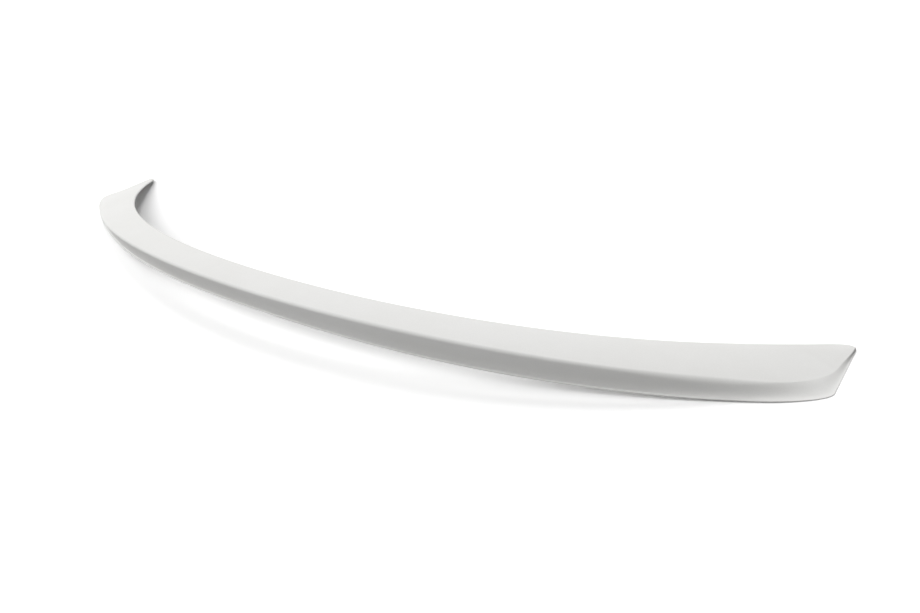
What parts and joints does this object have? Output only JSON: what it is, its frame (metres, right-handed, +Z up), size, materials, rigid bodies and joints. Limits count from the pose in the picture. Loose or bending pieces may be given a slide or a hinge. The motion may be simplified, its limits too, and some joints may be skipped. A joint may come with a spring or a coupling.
{
  "type": "trunk spoiler",
  "caption": "Lip spoiler for a trunk lid: an open moulded shell with an overhanging rear lip and ends that wrap forward to a point.",
  "frame": {"origin": "middle of the bounding box's underside, on the surface that the part lies on", "axes": "+Z up as it lies, +X along the width, +Y towards the front of the car, so the lip faces -Y"},
  "size_m": [1.1992, 0.31, 0.0608],
  "materials": {
    "primer_shell": "satin pale grey primer, unpainted"
  },
  "bodies": {
    "root": {"spoiler": "primer_shell"}
  },
  "joints": []
}
